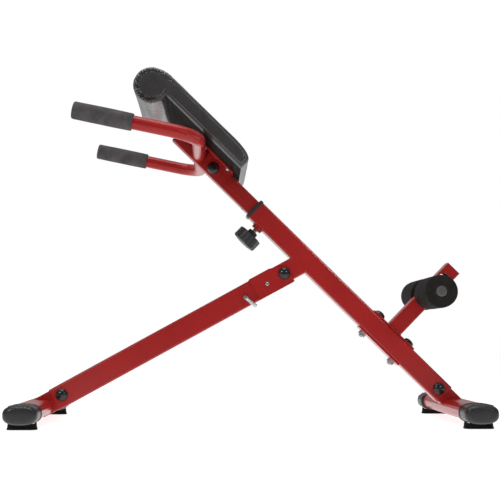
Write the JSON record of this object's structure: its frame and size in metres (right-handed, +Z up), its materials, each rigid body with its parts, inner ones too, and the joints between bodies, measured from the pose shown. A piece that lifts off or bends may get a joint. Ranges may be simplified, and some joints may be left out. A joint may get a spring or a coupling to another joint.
{
  "type": "roman chair",
  "caption": "45 degree hyperextension bench with a rolled hip pad on a sliding post, side handles, foam ankle rollers and a folding front leg.",
  "frame": {"origin": "on the floor under the middle of the bench's bounding box", "axes": "+X towards the ankle rollers and the rear foot, +Y across the bench, +Z up"},
  "size_m": [1.0994, 0.63, 0.8307],
  "materials": {
    "red_paint": "glossy red powder coat",
    "black_plastic": "glossy black moulded plastic",
    "black_vinyl": "semi-matte black grained vinyl",
    "black_foam": "matte black foam",
    "black_rubber": "matte black rubber",
    "grip_foam": "matte dark grey foam sleeve",
    "zinc_steel": "bright zinc plate",
    "grey_plastic": "dark grey moulded plastic",
    "plywood": "raw plywood"
  },
  "bodies": {
    "frame": {"main_frame": "red_paint", "sleeve_bushing": "black_plastic", "sleeve_boss": "red_paint", "rear_stabilizer": "red_paint", "rear_foot_bolt": "zinc_steel", "rear_foot_bolt_cap_left": "black_plastic", "rear_foot_bolt_cap_right": "black_plastic", "rear_end_cap_left": "black_plastic", "rear_end_cap_right": "black_plastic", "rear_foot_pad_left": "black_rubber", "rear_foot_pad_right": "black_rubber", "ankle_post": "red_paint", "ankle_backing_plate": "red_paint", "ankle_bolt_1": "zinc_steel", "ankle_bolt_2": "zinc_steel", "ankle_bolt_cap_1": "black_plastic", "ankle_bolt_cap_2": "black_plastic", "ankle_nut_1": "zinc_steel", "ankle_nut_2": "zinc_steel", "roller_axle": "zinc_steel", "axle_plug_left": "grey_plastic", "axle_plug_right": "grey_plastic"},
    "seat": {"seat_post": "red_paint", "seat_post_plug": "black_plastic", "handlebar": "red_paint", "grip_left": "grip_foam", "grip_right": "grip_foam", "pad_cushion": "black_vinyl", "pad_board": "plywood", "pad_bracket": "red_paint", "pad_screw_1": "zinc_steel", "pad_screw_2": "zinc_steel", "pad_screw_3": "zinc_steel", "pad_screw_4": "zinc_steel", "bracket_bolt": "zinc_steel", "bracket_bolt_cap_left": "black_plastic", "bracket_bolt_cap_right": "black_plastic"},
    "leg": {"front_leg": "red_paint", "hinge_plate_left": "red_paint", "hinge_plate_right": "red_paint", "hinge_bolt": "zinc_steel", "hinge_bolt_cap_left": "black_plastic", "hinge_bolt_cap_right": "black_plastic", "leg_rivet": "zinc_steel", "front_stabilizer": "red_paint", "front_foot_bolt": "zinc_steel", "front_foot_bolt_cap_left": "black_plastic", "front_foot_bolt_cap_right": "black_plastic", "front_end_cap_left": "black_plastic", "front_end_cap_right": "black_plastic", "front_foot_pad_left": "black_rubber", "front_foot_pad_right": "black_rubber"},
    "pin_tip": {"lock_pin_tip": "zinc_steel"},
    "knob": {"lock_knob": "black_plastic", "lock_screw": "zinc_steel"},
    "leg_pin": {"lock_pin": "zinc_steel"},
    "roller_near": {"foam_roller_left": "black_foam"},
    "roller_far": {"foam_roller_right": "black_foam"}
  },
  "joints": [
    {"name": "post_slide", "type": "slide", "parent": "frame", "child": "seat", "axis": [-0.7145, 0, 0.6997], "range_m": [-0.06, 0.12]},
    {"name": "leg_fold", "type": "hinge", "parent": "frame", "child": "leg", "pos_m": [0.0878, 0, 0.3613], "axis": [0, -1, 0], "range_deg": [0, 100]},
    {"name": "knob_travel", "type": "slide", "parent": "frame", "child": "pin_tip", "axis": [-0.6997, 0, -0.7145], "range_m": [-0.006, 0.003]},
    {"name": "knob_turn", "type": "hinge", "parent": "pin_tip", "child": "knob", "pos_m": [0.00699, 0, 0.45873], "axis": [-0.6997, 0, -0.7145], "range_deg": [-1230, 615]},
    {"name": "lock_pin_pull", "type": "slide", "parent": "leg", "child": "leg_pin", "axis": [0, -1, 0], "range_m": [0, 0.062]},
    {"name": "roller_left_spin", "type": "hinge", "parent": "frame", "child": "roller_near", "pos_m": [0.44766, 0, 0.31202], "axis": [0, 1, 0], "continuous": true},
    {"name": "roller_right_spin", "type": "hinge", "parent": "frame", "child": "roller_far", "pos_m": [0.44766, 0, 0.31202], "axis": [0, 1, 0], "continuous": true}
  ],
  "couplings": [
    {"joint": "knob_travel", "follows": "knob_turn", "m_per_rad": 0.00027852}
  ]
}
